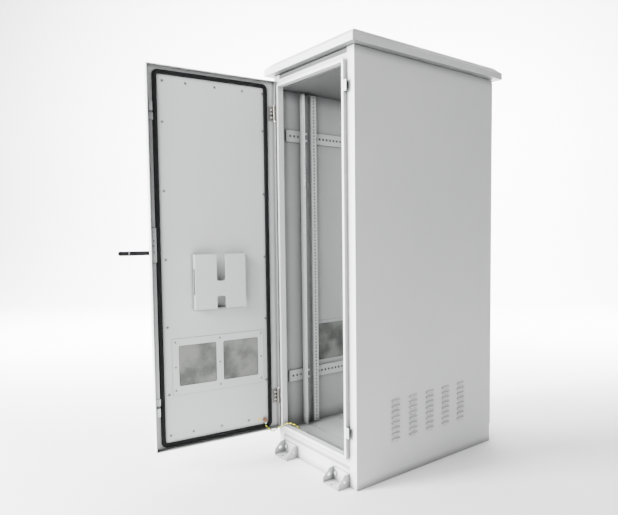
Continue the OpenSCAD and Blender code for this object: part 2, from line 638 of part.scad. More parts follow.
// ---------------------------------------------------------------- lock
gearbox_z0 = handle_z - 38;
gearbox_z1 = handle_z + 102;
gearbox_w = 20;
gearbox_top = rod_y + rod_t / 2 + 5;
spindle_end = gearbox_top - 2.5;
rod_slot = 0.5;
spindle_r = 4;
module rod_channel(z0, z1) box([lock_x - rod_w / 2 - rod_slot, rod_y - rod_t / 2 - rod_slot, z0],
    [lock_x + rod_w / 2 + rod_slot, rod_y + rod_t / 2 + rod_slot, z1]);
module lock_gearbox() on_door() color(ZINC) difference() {
    box([lock_x - gearbox_w / 2, panel_y, gearbox_z0], [lock_x + gearbox_w / 2, gearbox_top, gearbox_z1]);
    rod_channel(gearbox_z0 - 1, gearbox_z1 + 1);
    translate([lock_x, panel_y - 1, handle_z]) rotate([-90, 0, 0]) 
        cylinder(r = spindle_r + run_clear, h = spindle_end + 1.5 - panel_y);
}
guide_h = 40;
rod_step_h = 5;
rod_tip_l = rod_stroke + 12;
guide_off = strike_h / 2 + rod_free + rod_tip_l + rod_step_h + 2 + guide_h / 2;
guide_zs = [strike_zs[0] + guide_off, strike_zs[1] - guide_off];
module rod_guide(z) on_door() color(ZINC) difference() {
    union() {
        box([lock_x - 10, panel_y, z - guide_h / 2], [lock_x + 10, panel_y + 1.5, z + guide_h / 2]);
        box([lock_x - 10, panel_y, z - 14], [lock_x + 10, rod_y + rod_t / 2 + 2.5, z + 14]);
    }
    rod_channel(z - guide_h, z + guide_h);
}
rod_tips = [strike_zs[0] + strike_h / 2 + rod_free, strike_zs[1] - strike_h / 2 - rod_free];
// A rod runs deep in the door and steps up to its tip: tip and inner are heights, way is +1 or -1
module lock_rod(inner, tip, way) on_door() color(ZINC) {
    step_z = tip - way * rod_tip_l;
    foot_z = step_z - way * rod_step_h;
    box([lock_x - rod_w / 2, rod_y - rod_t / 2, min(inner, foot_z)], [lock_x + rod_w / 2, rod_y + rod_t / 2, max(inner, foot_z)]);
    box([lock_x - rod_w / 2, rod_y - rod_t / 2, min(foot_z, step_z)],
        [lock_x + rod_w / 2, rod_tip_y + rod_t / 2, max(foot_z, step_z)]);
    box([lock_x - rod_w / 2, rod_tip_y - rod_t / 2, min(step_z, tip)],
        [lock_x + rod_w / 2, rod_tip_y + rod_t / 2, max(step_z, tip)]);
}

// ---------------------------------------------------------------- handle
base_t = 8;
base_w = 26;
hub_t = 3;
hub_gap = 0.2;
lift_y = face_y - base_t - hub_gap - hub_t - 7.5;
tongue_t = 9.4;
lift_pin_r = 2;
module handle_base() on_door() color(BLACK) difference() {
    box([lock_x - base_w / 2, face_y - base_t, handle_z - lever_len - 12], [lock_x + base_w / 2, face_y, handle_z + 24]);
    translate([lock_x, face_y - base_t - 1, handle_z]) rotate([-90, 0, 0]) cylinder(r = spindle_r + run_clear, h = base_t + 2);
}
module handle_spindle() on_door() color(ZINC) difference() {
    union() {
        translate([lock_x, face_y - base_t - hub_gap - hub_t, handle_z]) rotate([-90, 0, 0]) {
            cylinder(d = 20, h = hub_t);
            cylinder(r = spindle_r, h = spindle_end - (face_y - base_t - hub_gap - hub_t));
        }
        box([lock_x - 6, lift_y, handle_z - tongue_t / 2],
            [lock_x + 6, face_y - base_t - hub_gap - hub_t, handle_z + tongue_t / 2]);
        translate([lock_x, lift_y, handle_z - tongue_t / 2]) cylinder(r = 6, h = tongue_t);
    }
    translate([lock_x, lift_y, handle_z - 20]) cylinder(r = lift_pin_r + run_clear, h = 40);
}
module handle_lever() on_door() color(BLACK) difference() {
    union() {
        for (s = [-1, 1]) translate([lock_x, lift_y, handle_z + s * (tongue_t / 2 + 2.3) - 2])
            cylinder(r = 6.5, h = 4);
        for (s = [-1, 1]) translate([lock_x, 0, handle_z + s * (tongue_t / 2 + 2.3) - 2])
            box([0, lift_y - 6.5, 0], [9, lift_y + 6, 4]);
        box([lock_x + 7.5, lift_y - 6.5, handle_z - lever_w / 2], [lock_x + lever_len - 8, lift_y + 5, handle_z + lever_w / 2]);
        translate([lock_x + lever_len - 9, lift_y + 5, handle_z]) rotate([90, 0, 0]) cylinder(r = lever_w / 2, h = 11.5);
    }
    translate([lock_x, lift_y, handle_z - 20]) cylinder(r = lift_pin_r, h = 40);
}
module handle_pin() on_door() color(ZINC) translate([lock_x, lift_y, handle_z - tongue_t / 2 - 4.3])
    cylinder(r = lift_pin_r, h = tongue_t + 8.6);

// ---------------------------------------------------------------- earthing
stud_x = door_x0 + 69;
stud_z = 153;
lug_stand = 10;
lug_reach = 18;
module earth_stud_door() on_door() color(ZINC) translate([stud_x, panel_y, stud_z]) rotate([-90, 0, 0]) {
    hex_head(13, lug_stand);
    cylinder(d = 6, h = lug_stand + 10);
}
module earth_lug_door() on_door() color(COPPER) translate([stud_x, panel_y + lug_stand, stud_z]) rotate([-90, 0, 0])
difference() {
    union() {
        cylinder(d = 13, h = 1.5);
        translate([-3, 0, 0]) cube([6, lug_reach - 4, 1.5]);
        translate([-3, lug_reach - 9, 0]) cube([6, 9, 6]);
    }
    translate([0, 0, -1]) cylinder(d = 6.4, h = 4);
}
frame_stud_x = -xo + 150;
frame_stud_y = -yo + 52;
module earth_stud_frame() color(ZINC) translate([frame_stud_x, frame_stud_y, floor_z]) {
    hex_head(13, 4);
    cylinder(d = 6, h = 14);
}
module earth_lug_frame() color(COPPER) translate([frame_stud_x, frame_stud_y, floor_z + 4]) difference() {
    union() {
        cylinder(d = 13, h = 1.5);
        translate([-3, 4 - lug_reach, 0]) cube([6, lug_reach - 4, 1.5]);
        translate([-3, -lug_reach, 0]) cube([6, 9, 6]);
    }
    translate([0, 0, -1]) cylinder(d = 6.4, h = 4);
}

// Earth lead: route from the door's lug to the frame's lug, rounded through its points
lead_r = 2.5;
lead_sides = 8;
lead_steps = 5;
function swung(p) = [
    pin_x + (p[0] - pin_x) * cos(door_open) + (p[1] - pin_y) * sin(door_open),
    pin_y - (p[0] - pin_x) * sin(door_open) + (p[1] - pin_y) * cos(door_open), p[2]
];
lead_start = swung([stud_x, panel_y + lug_stand + 3, stud_z - lug_reach]);
lead_end = [frame_stud_x, frame_stud_y - lug_reach, floor_z + 7];
lead_route = [
    lead_start + [0, 0, 6], lead_start,
    swung([stud_x - 1, rim_y - 9, stud_z - 26]), swung([stud_x - 4, rim_y + 3, stud_z - 31]),
    swung([stud_x - 12, rim_y + 10, stud_z - 41]), swung([stud_x - 27, rim_y + 12, stud_z - 50]),
    [-xo + 32, -yo - 38, stud_z - 45], [-xo + 42, -yo - 28, stud_z - 34], [-xo + 70, -yo - 25, stud_z - 23],
    [-xo + 84, -yo - 24, opening_z + 11], [-xo + 102, -yo - 22, opening_z + 20],
    [-xo + 121, -yo - 16, opening_z + 24], [-xo + 137, -yo - 4, opening_z + 20],
    [-xo + 147, -yo + 10, opening_z + 7], lead_end + [0, -9, 9], lead_end, lead_end + [0, 8, -2]
];
function lead_at(i, t) = let (a = lead_route[i - 1], b = lead_route[i], c = lead_route[i + 1], d = lead_route[i + 2])
    0.5 * (2 * b + (c - a) * t + (2 * a - 5 * b + 4 * c - d) * t * t + (3 * b - a - 3 * c + d) * t * t * t);
lead_path = [
    for (i = [1 : len(lead_route) - 3]) for (k = [0 : lead_steps - 1]) lead_at(i, k / lead_steps),
    lead_end
];
lead_n = len(lead_path);
function unit(v) = v / norm(v);
lead_dirs = [
    for (i = [0 : lead_n - 1])
        i == 0 ? [0, 0, -1] : i == lead_n - 1 ? [0, 1, 0] : unit(lead_path[i + 1] - lead_path[i - 1])
];
lead_sideways = [
    for (i = 0, v = [1, 0, 0]; i < lead_n; i = i + 1,
        v = i < lead_n ? unit(v - (v * lead_dirs[i]) * lead_dirs[i]) : v) v
];
lead_rings = [
    for (i = [0 : lead_n - 1]) for (k = [0 : lead_sides - 1])
        let (v = lead_sideways[i], w = cross(lead_dirs[i], v), a = 360 * k / lead_sides)
            lead_path[i] + lead_r * (cos(a) * v + sin(a) * w)
];
lead_faces = [
    for (i = [0 : lead_n - 2]) for (k = [0 : lead_sides - 1]) let (m = (k + 1) % lead_sides)
        [i * lead_sides + k, (i + 1) * lead_sides + k, (i + 1) * lead_sides + m],
    for (i = [0 : lead_n - 2]) for (k = [0 : lead_sides - 1]) let (m = (k + 1) % lead_sides)
        [i * lead_sides + k, (i + 1) * lead_sides + m, i * lead_sides + m],
    [for (k = [0 : lead_sides - 1]) k],
    [for (k = [lead_sides - 1 : -1 : 0]) (lead_n - 1) * lead_sides + k]
];
module earth_lead() color(LEAD_GREEN) polyhedron(points = lead_rings, faces = lead_faces);

plinth_frame();
base_pan();
gland_plate();
side_panel(-1);  // side_panel_left
side_panel(1);  // side_panel_right
side_liner(-1);  // side_liner_left
side_liner(1);  // side_liner_right
vent_frame(-1);  // vent_frame_left
vent_frame(1);  // vent_frame_right
vent_mats();
rear_panel();
rear_panel_screws();
front_frame();
ceiling_panel();
roof_cover();
roof_spacers();
roof_bolts();
rail_at(-1, -1);  // rack_rail_front_left
rail_at(1, -1);  // rack_rail_front_right
rail_at(-1, 1);  // rack_rail_rear_left
rail_at(1, 1);  // rack_rail_rear_right
strap(-1, strap_zs[0]);  // strap_low_left
strap(1, strap_zs[0]);  // strap_low_right
strap(-1, strap_zs[1]);  // strap_high_left
strap(1, strap_zs[1]);  // strap_high_right
rail_bolts();
foot_at(-1, -1);  // foot_front_left
foot_at(1, -1);  // foot_front_right
foot_at(-1, 1);  // foot_rear_left
foot_at(1, 1);  // foot_rear_right
foot_bolts();
lock_strikes();
hinge_frame_leaf(hinge_zs[1]);  // hinge_frame_leaf_upper
hinge_frame_leaf(hinge_zs[0]);  // hinge_frame_leaf_lower
hinge_pins();
earth_stud_frame();
earth_lug_frame();
earth_lead();
door_shell();
door_liner();
door_gasket();
door_liner_screws();
document_holder();
door_filter_frame();
door_filter_mats();
door_filter_screws();
hinge_door_leaf(hinge_zs[1]);  // hinge_door_leaf_upper
hinge_door_leaf(hinge_zs[0]);  // hinge_door_leaf_lower
hinge_nuts();
earth_stud_door();
earth_lug_door();
lock_gearbox();
rod_guide(guide_zs[1]);  // rod_guide_upper
rod_guide(guide_zs[0]);  // rod_guide_lower
lock_rod(handle_z + 16, rod_tips[1], 1);  // lock_rod_upper
lock_rod(handle_z - 16, rod_tips[0], -1);  // lock_rod_lower
handle_base();
handle_spindle();
handle_lever();
handle_pin();
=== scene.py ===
import bpy, bmesh, json, math
from mathutils import Vector, Matrix


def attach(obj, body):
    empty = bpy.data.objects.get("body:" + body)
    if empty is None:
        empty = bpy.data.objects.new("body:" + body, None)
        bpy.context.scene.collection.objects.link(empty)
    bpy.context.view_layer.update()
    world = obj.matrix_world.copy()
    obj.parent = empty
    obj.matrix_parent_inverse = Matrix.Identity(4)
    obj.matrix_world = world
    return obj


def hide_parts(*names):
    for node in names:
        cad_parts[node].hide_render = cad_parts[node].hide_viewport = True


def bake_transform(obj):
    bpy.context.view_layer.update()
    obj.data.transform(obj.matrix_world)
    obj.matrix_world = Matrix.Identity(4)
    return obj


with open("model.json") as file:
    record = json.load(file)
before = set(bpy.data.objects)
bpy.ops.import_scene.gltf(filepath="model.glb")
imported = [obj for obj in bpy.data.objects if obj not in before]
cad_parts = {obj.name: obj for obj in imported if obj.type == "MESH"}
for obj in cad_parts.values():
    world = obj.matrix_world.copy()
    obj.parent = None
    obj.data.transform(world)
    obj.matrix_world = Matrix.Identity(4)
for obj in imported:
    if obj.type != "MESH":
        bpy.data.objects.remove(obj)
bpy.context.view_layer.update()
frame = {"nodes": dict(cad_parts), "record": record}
NODES, REC = frame["nodes"], frame["record"]

# ------------------------------------------------------------------ camera
AZ, EL, ROLL = math.radians(50.08), math.radians(3.39), math.radians(-0.31)
CAMERA_AT = (1.9622, -1.74865, 1.02539)
back = Vector((math.sin(AZ) * math.cos(EL), -math.cos(AZ) * math.cos(EL), math.sin(EL)))
right = Vector((math.cos(AZ), math.sin(AZ), 0))
up = back.cross(right)
right, up = (math.cos(ROLL) * right + math.sin(ROLL) * up,
             math.cos(ROLL) * up - math.sin(ROLL) * right)
cam = bpy.data.objects.new("camera", bpy.data.cameras.new("camera"))
cam.data.lens, cam.data.sensor_width = 32.61, 36
cam.data.shift_x, cam.data.shift_y = -0.0956, 0.0087
cam.matrix_world = Matrix.Translation(CAMERA_AT) @ Matrix((right, up, back)).transposed().to_4x4()
bpy.context.scene.collection.objects.link(cam)
bpy.context.scene.camera = cam

# ------------------------------------------------------------------ the door's own axes
door_joint = next(j for j in REC["behaviour"]["joints"] if j["name"] == "door_hinge")
turn_joint = next(j for j in REC["behaviour"]["joints"] if j["name"] == "handle_turn")
PIN = Vector((door_joint["pos_m"][0], door_joint["pos_m"][1], 0))
INWARD = Vector(turn_joint["axis"]).normalized()
ALONG = Vector((-INWARD.y, INWARD.x, 0)) * -1


def on_door(x, y, z):
    """A point drawn on the shut door, in metres, moved to where the door stands."""
    return PIN + (x - PIN.x) * ALONG + (y - PIN.y) * INWARD + Vector((0, 0, z))


def catmull(points, steps):
    """A smooth curve through all points but the first and last, which only steer its ends."""
    out = []
    for a, b, c, d in zip(points, points[1:], points[2:], points[3:]):
        for k in range(steps):
            t = k / steps
            out.append(0.5 * (2 * b + (c - a) * t + (2 * a - 5 * b + 4 * c - d) * t * t
                              + (3 * b - a - 3 * c + d) * t ** 3))
    return out + [points[-2]]


def skinned(rings):
    """(verts, faces) of a solid over a stack of rings with as many points each, closed at both ends."""
    n, sides = len(rings), len(rings[0])
    faces = [(i * sides + k, i * sides + (k + 1) % sides, (i + 1) * sides + (k + 1) % sides,
              (i + 1) * sides + k) for i in range(n - 1) for k in range(sides)]
    faces += [tuple(range(sides - 1, -1, -1)), tuple((n - 1) * sides + k for k in range(sides))]
    return [v for ring in rings for v in ring], faces


def tube(path, radius, sides, first, last):
    """A closed tube along path, with its rings carried along without a twist of their own. first and
    last are the directions in which it leaves its ends."""
    rings, v = [], Vector((1, 0, 0))
    for i, p in enumerate(path):
        d = first if i == 0 else last if i == len(path) - 1 else (path[i + 1] - path[i - 1])
        d = d.normalized()
        v = (v - v.dot(d) * d).normalized()
        w = d.cross(v)
        turns = [math.tau * k / sides for k in range(sides)]
        rings.append([p + radius * (math.cos(a) * v + math.sin(a) * w) for a in turns])
    return skinned(rings)


# ------------------------------------------------------------------ materials
BUMP_DEPTH, CREASE_POWER, LOOKS_DOWN = 0.0005, 1.8, -0.7


def material(name, color, rough, metal=0.0, grain=None, bump=0.0, edge=0.0, mottle=None, spec=0.5,
             shade=None, underside_shade=None):
    """A procedural surface. grain is the bump's noise scale, edge the radius that corners look rounded
    by, mottle = (scale, second colour) mixes in a soft noise, shade = (reach, amount) paints shade
    into creases and recesses by darkening the colour with ambient occlusion, and the colour given for
    the faces that look down is a painted shade, darker to stand in for the shade beneath overhangs."""
    m = bpy.data.materials.new(name)
    m.use_nodes = True
    t = m.node_tree
    p = t.nodes["Principled BSDF"]
    p.inputs["Base Color"].default_value = (*color, 1)
    p.inputs["Roughness"].default_value = rough
    p.inputs["Metallic"].default_value = metal
    p.inputs["Specular IOR Level"].default_value = spec
    co = t.nodes.new("ShaderNodeTexCoord")
    normal = tone = None
    if grain:
        n = t.nodes.new("ShaderNodeTexNoise")
        n.inputs["Scale"].default_value = grain
        n.inputs["Detail"].default_value = 3
        b = t.nodes.new("ShaderNodeBump")
        b.inputs["Strength"].default_value = bump
        b.inputs["Distance"].default_value = BUMP_DEPTH
        t.links.new(co.outputs["Object"], n.inputs["Vector"])
        t.links.new(n.outputs["Fac"], b.inputs["Height"])
        normal = b.outputs["Normal"]
    if edge:
        e = t.nodes.new("ShaderNodeBevel")
        e.samples = 4
        e.inputs["Radius"].default_value = edge
        if normal:
            t.links.new(normal, e.inputs["Normal"])
        normal = e.outputs["Normal"]
    if normal:
        t.links.new(normal, p.inputs["Normal"])
    if mottle:
        n2 = t.nodes.new("ShaderNodeTexNoise")
        n2.inputs["Scale"].default_value = mottle[0]
        n2.inputs["Detail"].default_value = 4
        r = t.nodes.new("ShaderNodeValToRGB")
        r.color_ramp.elements[0].position, r.color_ramp.elements[0].color = 0.38, (*color, 1)
        r.color_ramp.elements[1].position, r.color_ramp.elements[1].color = 0.62, (*mottle[1], 1)
        t.links.new(co.outputs["Object"], n2.inputs["Vector"])
        t.links.new(n2.outputs["Fac"], r.inputs["Fac"])
        tone = r.outputs["Color"]
    # Painted shade: faces that look down take a darker colour, standing in for the shade beneath
    # overhangs.
    if underside_shade:
        facing = t.nodes.new("ShaderNodeSeparateXYZ")
        down = t.nodes.new("ShaderNodeMath")
        down.operation = "LESS_THAN"
        down.inputs[1].default_value = LOOKS_DOWN
        pick = t.nodes.new("ShaderNodeMix")
        pick.data_type = "RGBA"
        plain, below = [k for k in pick.inputs if k.type == "RGBA"]
        plain.default_value, below.default_value = (*color, 1), (*underside_shade, 1)
        if tone:
            t.links.new(tone, plain)
        t.links.new(co.outputs["Normal"], facing.inputs["Vector"])
        t.links.new(facing.outputs["Z"], down.inputs[0])
        t.links.new(down.outputs[0], pick.inputs["Factor"])
        tone = [k for k in pick.outputs if k.type == "RGBA"][0]
    # Painted shade: ambient occlusion darkens the colour in creases, holes and recesses, where shade
    # falls.
    if shade:
        ao = t.nodes.new("ShaderNodeAmbientOcclusion")
        ao.samples = 8
        ao.inputs["Distance"].default_value = shade[0]
        curve = t.nodes.new("ShaderNodeMath")
        curve.operation = "POWER"
        curve.inputs[1].default_value = CREASE_POWER
        keep = t.nodes.new("ShaderNodeMapRange")
        keep.inputs["To Min"].default_value = 1 - shade[1]
        mix = t.nodes.new("ShaderNodeMix")
        mix.data_type = "RGBA"
        dark, light = [k for k in mix.inputs if k.type == "RGBA"]
        dark.default_value, light.default_value = (0, 0, 0, 1), (*color, 1)
        if tone:
            t.links.new(tone, light)
        t.links.new(ao.outputs["AO"], curve.inputs[0])
        t.links.new(curve.outputs[0], keep.inputs["Value"])
        t.links.new(keep.outputs["Result"], mix.inputs["Factor"])
        tone = [k for k in mix.outputs if k.type == "RGBA"][0]
    if tone:
        t.links.new(tone, p.inputs["Base Color"])
    return m


PAINT = material("outer_paint", (0.62, 0.63, 0.622), 0.36, grain=1400, bump=0.10, edge=0.0009,
                 spec=0.4, mottle=(2.2, (0.60, 0.61, 0.605)), shade=(0.035, 0.80))
PAINT_IN = material("inner_paint", (0.52, 0.53, 0.53), 0.40, grain=1400, bump=0.10, edge=0.0008,
                    spec=0.4, mottle=(2.6, (0.505, 0.515, 0.515)), shade=(0.014, 0.85))
# Painted shade: the side liners and vent frames take a darker copy of the inner paint, standing in for
# the shade inside the cabinet behind the rails.
WALL_SHADED = material("wall_paint_shaded", (0.40, 0.408, 0.408), 0.40, grain=1400, bump=0.10, edge=0.0008,
                spec=0.4, mottle=(2.6, (0.385, 0.393, 0.393)), shade=(0.060, 0.80))
FLOOR = material("pan_paint", (0.36, 0.365, 0.365), 0.45, grain=1400, bump=0.10, edge=0.0008,
                 spec=0.3, mottle=(2.6, (0.34, 0.345, 0.345)), shade=(0.060, 0.80))
# The roof's paint, with a painted shade on its downward faces, the soffits beneath its overhang.
ROOF = material("roof_paint_shaded_under", (0.60, 0.61, 0.602), 0.36, grain=1400, bump=0.10, edge=0.0009,
                spec=0.4, mottle=(2.2, (0.58, 0.59, 0.585)), shade=(0.020, 0.80),
                underside_shade=(0.17, 0.173, 0.173))
DOOR = material("door_paint", (0.62, 0.63, 0.622), 0.36, grain=1400, bump=0.10, edge=0.0009,
                spec=0.4, mottle=(2.2, (0.60, 0.61, 0.605)), shade=(0.055, 0.90))
PAINT_RAIL = material("rail_paint", (0.55, 0.56, 0.56), 0.40, grain=1400, bump=0.08, edge=0.0006,
                      spec=0.4, mottle=(3, (0.53, 0.54, 0.54)), shade=(0.050, 0.90))
# Painted shade: the ceiling panel's paint darkened almost to black, standing in for the shade beneath
# the roof inside the cabinet.
CEILING_SHADED = material("ceiling_paint_shaded", (0.095, 0.097, 0.097), 0.45, grain=1400, bump=0.10, edge=0.0008,
                   spec=0.3, mottle=(2.6, (0.088, 0.09, 0.09)), shade=(0.060, 0.80))
ZINC = material("zinc", (0.70, 0.71, 0.72), 0.38, metal=0.7, grain=500, bump=0.12, edge=0.0005,
                mottle=(120, (0.78, 0.79, 0.78)), shade=(0.012, 0.85))
LEAF = material("hinge_leaf", (0.36, 0.34, 0.31), 0.42, metal=0.7, grain=500, bump=0.12, edge=0.0005,
                mottle=(120, (0.30, 0.285, 0.26)), shade=(0.012, 0.90))
LOCK = material("lock_zinc", (0.62, 0.63, 0.64), 0.38, metal=0.7, grain=500, bump=0.12, edge=0.0005,
                mottle=(120, (0.55, 0.56, 0.57)), shade=(0.030, 0.95))
SCREW = material("dull_zinc", (0.16, 0.16, 0.16), 0.42, metal=1.0, grain=500, bump=0.1,
                 mottle=(300, (0.22, 0.22, 0.22)))
# Painted shade: the seal's near-black tone also stands in for the shadow the roof's overhang casts on
# it.
SEAL_SHADE = material("roof_seal_shade", (0.088, 0.09, 0.09), 0.8, grain=1600, bump=0.3, spec=0.2,
                mottle=(30, (0.078, 0.08, 0.08)))
RUBBER = material("gasket_rubber", (0.006, 0.006, 0.0065), 0.75, grain=2600, bump=0.35, spec=0.15,
                  mottle=(60, (0.009, 0.009, 0.0095)))
BLACK = material("black_plastic", (0.006, 0.006, 0.007), 0.42, grain=1800, bump=0.12, edge=0.0012,
                 spec=0.2, mottle=(40, (0.009, 0.009, 0.010)))
FIBRE = material("filter_fibre", (0.085, 0.09, 0.085), 0.9, grain=900, bump=0.9,
                 mottle=(11, (0.19, 0.195, 0.185)), shade=(0.014, 0.9))
GREEN = material("lead_green", (0.008, 0.06, 0.006), 0.40, grain=900, bump=0.05,
                 mottle=(90, (0.012, 0.075, 0.01)))
YELLOW = material("lead_yellow", (0.85, 0.70, 0.015), 0.40, grain=900, bump=0.05,
                  mottle=(90, (0.80, 0.64, 0.015)))
TIN = material("tinned_lug", (0.60, 0.58, 0.54), 0.30, metal=1.0, grain=400, bump=0.1, edge=0.0004,
               mottle=(150, (0.52, 0.50, 0.47)))
BRASS = material("brass_nut", (0.40, 0.20, 0.10), 0.40, metal=1.0, grain=400, bump=0.1,
                 mottle=(200, (0.30, 0.14, 0.07)))
BAND = material("lever_band", (0.62, 0.63, 0.64), 0.22, metal=1.0, grain=900, bump=0.05,
                mottle=(90, (0.56, 0.57, 0.58)))
SLOTS = {"outer_paint": PAINT, "inner_paint": PAINT_IN, "rail_paint": PAINT_RAIL, "zinc": ZINC,
         "rubber": RUBBER, "black_plastic": BLACK, "filter_mat": FIBRE, "lead_jacket": GREEN, "lug": TIN}
# Nodes whose tone in the photograph isn't their slot's
# Of these, the roof, ceiling, side liners and vent frames are the paint with painted shade, and the door
# is the outer paint with deeper painted crease shade.
BY_NODE = {"roof_cover": ROOF, "ceiling_panel": CEILING_SHADED, "base_pan": FLOOR, "gland_plate": FLOOR,
           "side_liner_left": WALL_SHADED, "side_liner_right": WALL_SHADED,
           "vent_frame_left": WALL_SHADED, "vent_frame_right": WALL_SHADED, "door_shell": DOOR,
           "hinge_door_leaf_upper": LEAF, "hinge_door_leaf_lower": LEAF,
           "hinge_frame_leaf_upper": LEAF, "hinge_frame_leaf_lower": LEAF,
           "lock_gearbox": LOCK, "rod_guide_upper": LOCK, "rod_guide_lower": LOCK,
           "lock_rod_upper": LOCK, "lock_rod_lower": LOCK, "lock_strikes": LOCK}
for part in REC["subparts"]:
    data = NODES[part["node"]].data
    data.materials.clear()
    data.materials.append(BY_NODE.get(part["node"], SLOTS[part["material_slot"]]))


# ------------------------------------------------------------------ mesh helpers
def piece(name, body, parts, mats, stands_for=(), sharp=35):
    """One mesh from several (verts, faces, material index) parts, riding on body."""
    me = bpy.data.meshes.new(name)
    verts, faces, index = [], [], []
    for v, f, m in parts:
        base = len(verts)
        verts += [tuple(p) for p in v]
        faces += [tuple(base + i for i in g) for g in f]
        index += m if isinstance(m, list) else [m] * len(f)
    me.from_pydata(verts, [], faces)
    for m in mats:
        me.materials.append(m)
    for poly, m in zip(me.polygons, index):
        poly.material_index = m
        poly.use_smooth = True
    bm = bmesh.new()
    bm.from_mesh(me)
    bmesh.ops.recalc_face_normals(bm, faces=bm.faces)
    bm.to_mesh(me)
    bm.free()
    me.set_sharp_from_angle(angle=math.radians(sharp))
    o = bpy.data.objects.new(name, me)
    bpy.context.scene.collection.objects.link(o)
    if body:
        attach(o, body)
    if stands_for:
        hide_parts(*stands_for)
    return o


def placed(axis, at):
    """A matrix that stands a shape, drawn up along Z from 0, at a point along axis."""
    z = axis.normalized()
    x = (Vector((0, 0, 1)) if abs(z.z) < 0.9 else Vector((1, 0, 0))).cross(z).normalized()
    return Matrix.Translation(at) @ Matrix((x, z.cross(x), z)).transposed().to_4x4()


ROUND_SEGS = 24


def lathe(profile, segs, mat):
    """A solid turned from (radius, height) pairs, closed at both ends."""
    turns = [math.tau * k / segs for k in range(segs)]
    return skinned([[mat @ Vector((r * math.cos(a), r * math.sin(a), h)) for a in turns]
                    for r, h in profile])


def cross_screw(r, h, mat):
    """A pan-head screw with a cross recess in its top."""
    segs, w, l, deep = ROUND_SEGS, r * 0.13, r * 0.52, h * 0.55
    rings = [(r, 0), (r, h * 0.35), (r * 0.93, h * 0.68), (r * 0.76, h * 0.90), (r * 0.62, h)]
    bm = bmesh.new()
    loops = [[bm.verts.new((a * math.cos(math.tau * k / segs), a * math.sin(math.tau * k / segs), z))
              for k in range(segs)] for a, z in rings]
    for lo, hi in zip(loops, loops[1:]):
        for k in range(segs):
            bm.faces.new((lo[k], lo[(k + 1) % segs], hi[(k + 1) % segs], hi[k]))
    bm.faces.new(loops[0][::-1])
    plan = [(w, l), (-w, l), (-w, w), (-l, w), (-l, -w), (-w, -w),
            (-w, -l), (w, -l), (w, -w), (l, -w), (l, w), (w, w)]
    top = [bm.verts.new((x, y, h)) for x, y in plan]
    low = [bm.verts.new((x * 0.8, y * 0.8, h - deep)) for x, y in plan]
    for k in range(12):
        bm.faces.new((top[k], top[(k + 1) % 12], low[(k + 1) % 12], low[k]))
    bm.faces.new(low)
    rim = [bm.edges.get((loops[-1][k], loops[-1][(k + 1) % segs])) for k in range(segs)]
    rim += [bm.edges.get((top[k], top[(k + 1) % 12])) for k in range(12)]
    bmesh.ops.triangle_fill(bm, edges=rim, use_beauty=True)
    bm.verts.index_update()
    out = [mat @ v.co for v in bm.verts], [tuple(v.index for v in f.verts) for f in bm.faces]
    bm.free()
    return out


def hex_nut(af, h, mat):
    """A hexagon head or nut with its corners turned off."""
    corner = af / 2 / math.cos(math.pi / 6)
    turns = [math.tau * k / ROUND_SEGS for k in range(ROUND_SEGS)]

    def ring(z, most):
        """The hexagon at height z, with what lies past the radius most turned off."""
        out = []
        for a in turns:
            flat = a % (math.pi / 3) - math.pi / 6
            r = min(most, corner * (math.cos(math.pi / 6) / math.cos(flat)))
            out.append(mat @ Vector((r * math.cos(a), r * math.sin(a), z)))
        return out

    return skinned([ring(0, af / 2 * 0.98), ring(h * 0.12, corner), ring(h * 0.55, corner),
                    ring(h * 0.9, corner * 0.965), ring(h, af / 2 * 0.96)])


def islands(node):
    """The points of each separate solid of a CAD node."""
    bm = bmesh.new()
    bm.from_mesh(NODES[node].data)
    bmesh.ops.remove_doubles(bm, verts=bm.verts, dist=1e-6)
    seen, out = set(), []
    for v in bm.verts:
        if v in seen:
            continue
        stack, group = [v], []
        seen.add(v)
        while stack:
            a = stack.pop()
            group.append(a.co.copy())
            for e in a.link_edges:
                b = e.other_vert(a)
                if b not in seen:
                    seen.add(b)
                    stack.append(b)
        out.append(group)
    bm.free()
    return out


def span(group, axis):
    """The lowest and highest place of a solid along axis."""
    d = [p.dot(axis) for p in group]
    return min(d), max(d)


def foot_of(group, axis):
    """The middle of a solid's low end along axis, and its height."""
    lo, hi = span(group, axis)
    box = Vector([(min(p[i] for p in group) + max(p[i] for p in group)) / 2 for i in range(3)])
    return box + (lo - box.dot(axis)) * axis, hi - lo


# ------------------------------------------------------------------ earth lead: the CAD route, in metres
lead_points = [on_door(*p) for p in (
    (-0.212, -0.4265, 0.141), (-0.212, -0.4265, 0.135), (-0.213, -0.424, 0.127),
    (-0.216, -0.412, 0.122), (-0.224, -0.405, 0.112), (-0.239, -0.403, 0.103))]
lead_points += [Vector(p) for p in (
    (-0.258, -0.4505, 0.108), (-0.248, -0.4405, 0.119), (-0.220, -0.4375, 0.130),
    (-0.206, -0.4365, 0.141), (-0.188, -0.4345, 0.150), (-0.169, -0.4285, 0.154),
    (-0.153, -0.4165, 0.150), (-0.143, -0.4025, 0.137), (-0.140, -0.3875, 0.115),
    (-0.140, -0.3785, 0.106), (-0.140, -0.3705, 0.104))]
